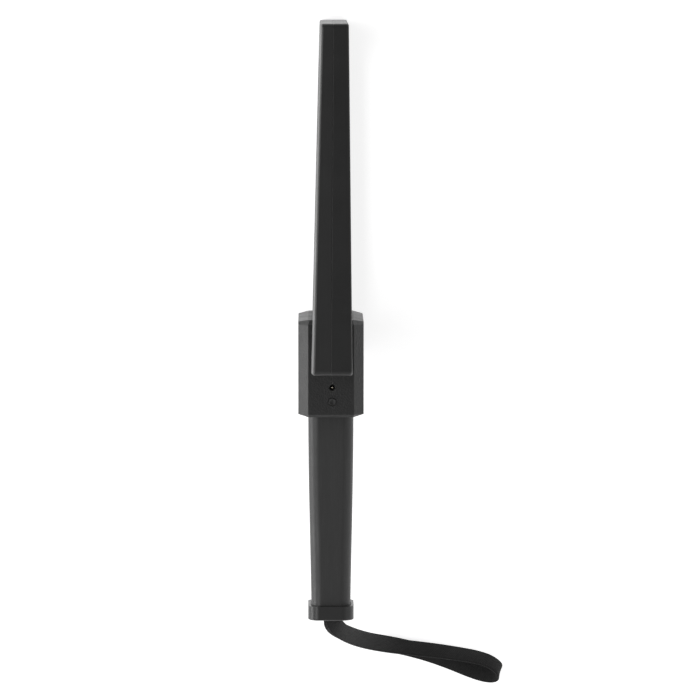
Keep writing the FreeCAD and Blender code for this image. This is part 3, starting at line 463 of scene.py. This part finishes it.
def cell_sleeve():
    """Shrunk grey sleeve with a plain paler band round each cell."""
    g = Graph("cell sleeve")
    x, y, z = g.axes(g.place)
    low = NODES["battery_cells"].bound_box[0]
    along = g.maths("FRACT", g.maths("DIVIDE", g.maths("SUBTRACT", y, low[1]), CELL_PITCH))
    wrinkles = g.noise(700.0, 3.0, 0.6, stretch=(1.0, 0.2, 1.0))
    sleeve = g.ramp(wrinkles, (0.3, (0.05, 0.055, 0.065)), (0.7, (0.075, 0.08, 0.09)))
    band = g.ramp(along, (0.82, 0.0), (0.83, 1.0), (0.96, 1.0), (0.97, 0.0))
    gloss = g.ramp(wrinkles, (0.3, 0.22), (0.7, 0.34))
    g.feed(Base_Color=g.mix(band, sleeve, (0.5, 0.5, 0.5)), Roughness=gloss)
    g.bump((wrinkles, 0.3, 0.05 * MM))
    return g.material


def woven_webbing():
    """Black woven webbing: rows of short floats, a closer selvedge at both edges, and a little fuzz."""
    g = Graph("woven webbing")
    spot = g.add("ShaderNodeAttribute", attribute_name=WEAVE).outputs["Vector"]
    across, along, _ = g.axes(spot)
    column = g.maths("DIVIDE", across, YARN_PITCH)
    shift = g.maths("MULTIPLY", g.maths("FLOOR", column), 0.5)
    row = g.maths("ADD", g.maths("DIVIDE", along, PICK_PITCH), shift)
    arch = g.maths("SINE", g.maths("MULTIPLY", g.maths("FRACT", column), math.pi))
    float_arch = g.maths("SINE", g.maths("MULTIPLY", g.maths("FRACT", row), math.pi))
    weave = g.maths("MULTIPLY", g.maths("POWER", arch, 0.6), g.maths("POWER", float_arch, 0.6))
    selvedge = g.maths("GREATER_THAN", g.maths("ABSOLUTE", across), STRAP_WIDTH / 2 - SELVEDGE)
    ribs = g.maths("SINE", g.maths("MULTIPLY", g.maths("DIVIDE", along, PICK_PITCH), 2 * math.pi))
    height = g.mix(selvedge, weave, g.maths("MULTIPLY", g.maths("ADD", ribs, 1.5), 0.3))
    fuzz = g.noise(2600.0, 4.0, 0.7)
    faded = g.noise(90.0, 4.0, 0.6)
    # Float tops lighter and the dips between them darker: painted shade in the weave.
    tone = g.ramp(height, (0.0, 0.006), (0.5, 0.02), (1.0, 0.028))
    tone = g.mix(g.ramp(faded, (0.35, 0.0), (0.75, 0.3)), tone, 0.035)
    # Both edges painted darker: painted shade along the strap's edges.
    tone = g.mix(g.maths("MULTIPLY", selvedge, 0.5), tone, 0.009)
    tone = g.mix(g.ramp(fuzz, (0.62, 0.0), (0.8, 0.3)), tone, 0.07)
    g.feed(Base_Color=tone, Roughness=g.ramp(fuzz, (0.3, 0.72), (0.7, 0.9)))
    g.fix(Specular_IOR_Level=0.2, Sheen_Weight=0.1, Sheen_Roughness=0.4)
    g.bump((height, 0.8, 0.28 * MM), (fuzz, 0.35, 0.08 * MM))
    return g.material


def paint(material, *names):
    """Gives CAD nodes a material in all their slots."""
    for name in names:
        slots = NODES[name].material_slots
        for slot in slots:
            slot.material = material
        if not slots:
            NODES[name].data.materials.append(material)


def paint_cad():
    """Every CAD node's material."""
    paint(moulded_plastic("front loop plastic", 0.018, 0.36, 2600.0, 0.06 * MM, edge_wear_and_highlight=1.25), "loop_front_shell")
    paint(moulded_plastic("rear loop plastic", 0.011, 0.38, 2600.0, 0.06 * MM, edge_wear_and_highlight=1.3), "loop_rear_shell")
    housing = moulded_plastic("housing plastic", 0.0135, 0.4, 1050.0, 0.5 * MM, streaks=0.05)
    paint(housing, "front_cover", "rear_cover")
    paint(moulded_plastic("handle plastic", 0.029, 0.44, 3200.0, 0.03 * MM, streaks=0.3), "handle_tube")
    paint(moulded_plastic("cap plastic", 0.023, 0.33, 3000.0, 0.03 * MM), "end_cap")
    tray = moulded_plastic("inner plastic", 0.022, 0.45, 2400.0, 0.04 * MM)
    paint(tray, "battery_tray", "scan_switch", "menu_switch", "scan_plunger", "menu_plunger", "buzzer")
    paint(moulded_plastic("socket plastic", 0.05, 0.42, 3000.0, 0.02 * MM), "dc_jack", "data_socket")
    paint(moulded_rubber("plug rubber", 0.022, 0.5), "data_port_plug", "cap_seal", "display_gasket")
    paint(moulded_rubber("button rubber", 0.05, 0.5), "scan_button", "menu_button")
    steel = metal("steel", (0.62, 0.62, 0.63), 0.3)
    paint(steel, "housing_screws", "board_screws", "strap_pin", "contact_springs")
    plated = metal("plated contact", (0.78, 0.72, 0.58), 0.2, stretch=(1.0, 1.0, 0.2))
    paint(plated, "dc_jack_pin", "contact_plate", "tray_contacts")
    paint(circuit_board(), "main_board", "display_board", "io_board")
    paint(winding(), "antenna_coil")
    paint(natural_nylon(), "coil_former", "board_connector")
    paint(dipped_film(), "tuning_capacitors")
    paint(cell_sleeve(), "battery_cells")
    paint(display_window(), "display_lens")
    paint(liquid_crystal(), "lcd_module")
    paint(frosted_pipe(), "status_light_pipe")


# ---------------------------------------------------------------- wrist strap


def route_curve(name, points):
    """A smooth open spline through the room between the points, with no thickness."""
    data = bpy.data.curves.new(name, "CURVE")
    data.dimensions = "3D"
    data.resolution_u = 12
    spline = data.splines.new("NURBS")
    spline.points.add(len(points) - 1)
    for target, point in zip(spline.points, points):
        target.co = (*point, 1.0)
    spline.order_u = 3
    spline.use_endpoint_u = True
    return bpy.data.objects.new(name, data)


def route_line(name, points):
    """The points of that spline."""
    curve = route_curve(name, points)
    mesh = bpy.data.meshes.new_from_object(curve)
    line = []
    for vertex in mesh.vertices:
        if not line or (vertex.co - line[-1]).length > 1e-6:
            line.append(vertex.co.copy())
    data = curve.data
    bpy.data.objects.remove(curve)
    bpy.data.curves.remove(data)
    bpy.data.meshes.remove(mesh)
    return line


def strap_sides():
    """For each route point, a point beside it in the direction of the webbing's width."""
    points = [Vector(p[:3]) for p in STRAP_ROUTE]
    sides = []
    for number, here in enumerate(points):
        before, after = points[max(number - 1, 0)], points[min(number + 1, len(points) - 1)]
        run = (after - before).normalized()
        across = Vector((0, 0, 1)).cross(Vector((run.x, run.y, 0))).normalized()
        if number in (STRAP_TURN - 1, STRAP_TURN):
            across = Vector(STRAP_FOLD).normalized()
        elif number > STRAP_TURN:
            across = -across
        angle = math.radians(STRAP_ROUTE[number][3])
        across = across * math.cos(angle) - Vector((0, 0, 1)) * math.sin(angle)
        across = (across - run * across.dot(run)).normalized()
        sides.append(here + across * STRAP_WIDTH)
    return points, sides


def make_strap():
    points, sides = strap_sides()
    line, beside = route_line("strap_line", points), route_line("strap_side", sides)
    print("strap points", len(line), "length", sum((b - a).length for a, b in zip(line, line[1:])))
    mesh = bpy.data.meshes.new("strap")
    bm = bmesh.new()
    half, thick = STRAP_WIDTH / 2, STRAP_THICK / 2
    section = []
    edge_steps = 5
    for side in (1, -1):
        for step in range(edge_steps + 1):
            angle = math.pi / 2 - step * math.pi / edge_steps
            if side < 0:
                angle = -angle
            section.append((side * (half - thick) + side * thick * math.cos(angle), thick * math.sin(angle)))
    weave = bm.verts.layers.float_vector.new(WEAVE)
    travelled = 0.0
    rings = []
    for number, here in enumerate(line):
        before, after = line[max(number - 1, 0)], line[min(number + 1, len(line) - 1)]
        run = (after - before).normalized()
        across = beside[number] - here
        across = (across - run * across.dot(run)).normalized()
        up = run.cross(across)
        if number:
            travelled += (here - line[number - 1]).length
        ring = []
        for u, v in section:
            vertex = bm.verts.new(here + across * u + up * v)
            vertex[weave] = (u, travelled, 0.0)
            ring.append(vertex)
        rings.append(ring)
    for first, second in zip(rings, rings[1:]):
        for i in range(len(section)):
            j = (i + 1) % len(section)
            bm.faces.new((first[i], first[j], second[j], second[i]))
    bm.faces.new(rings[0][::-1])
    bm.faces.new(rings[-1])
    bmesh.ops.recalc_face_normals(bm, faces=bm.faces)
    bm.to_mesh(mesh)
    bm.free()
    for polygon in mesh.polygons:
        polygon.use_smooth = True
    strap = bpy.data.objects.new("wrist_strap_webbing", mesh)
    bpy.context.scene.collection.objects.link(strap)
    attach(strap, "cap_group")
    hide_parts("wrist_strap")
    return strap


def main():
    bpy.context.scene.view_settings.view_transform = "Standard"
    make_camera()
    strap = make_strap()
    make_light()
    make_floor()
    paint_cad()
    strap.data.materials.append(woven_webbing())


main()
